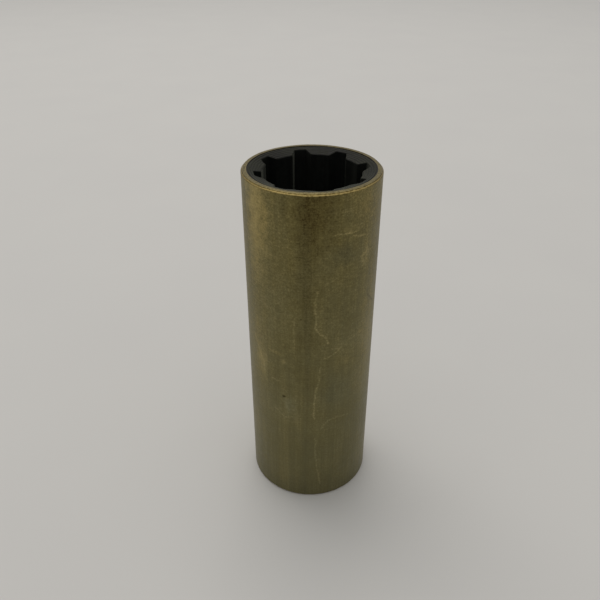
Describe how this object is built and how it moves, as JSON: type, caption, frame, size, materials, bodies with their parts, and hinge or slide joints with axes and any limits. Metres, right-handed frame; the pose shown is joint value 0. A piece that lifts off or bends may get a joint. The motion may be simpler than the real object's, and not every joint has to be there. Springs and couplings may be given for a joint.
{
  "type": "water-lubricated sleeve bearing",
  "caption": "Cylindrical brass sleeve bearing with a bonded black rubber lining whose narrow lands carry a shaft and whose lengthwise grooves pass water.",
  "frame": {"origin": "on the axis, at the plane of the lower end of the brass shell", "axes": "+Z along the axis towards the upper end, +X through the middle of one water groove"},
  "size_m": [0.05, 0.05, 0.14],
  "materials": {
    "brass": "dull tarnished brass with fine lengthwise draw lines",
    "adhesive": "matt dark cured film",
    "rubber": "matt moulded nitrile rubber"
  },
  "bodies": {
    "root": {"brass_shell": "brass", "bond_coat": "adhesive", "rubber_liner": "rubber"}
  },
  "joints": []
}
